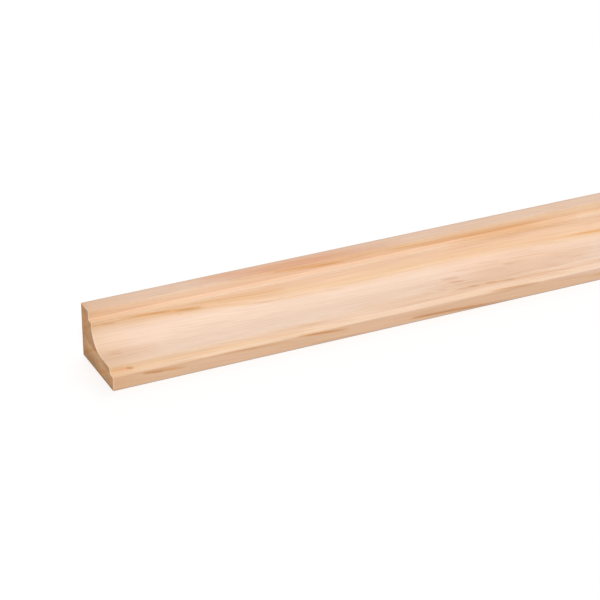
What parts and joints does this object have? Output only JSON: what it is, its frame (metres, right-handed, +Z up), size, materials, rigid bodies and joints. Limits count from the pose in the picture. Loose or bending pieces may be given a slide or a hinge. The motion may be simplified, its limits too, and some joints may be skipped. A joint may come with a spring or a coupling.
{
  "type": "cornice moulding",
  "caption": "Straight length of planed pine cornice moulding: a quarter-round cove between stepped fillets, with a flat bottom and back at a right angle.",
  "frame": {"origin": "centre of the flat bottom face, which the stock lies on", "axes": "+X along the length, +Y from the moulded front to the flat back, +Z up"},
  "size_m": [2.4, 0.045, 0.032],
  "materials": {
    "pine": "planed, unfinished softwood with straight grain"
  },
  "bodies": {
    "root": {"cornice_moulding": "pine"}
  },
  "joints": []
}
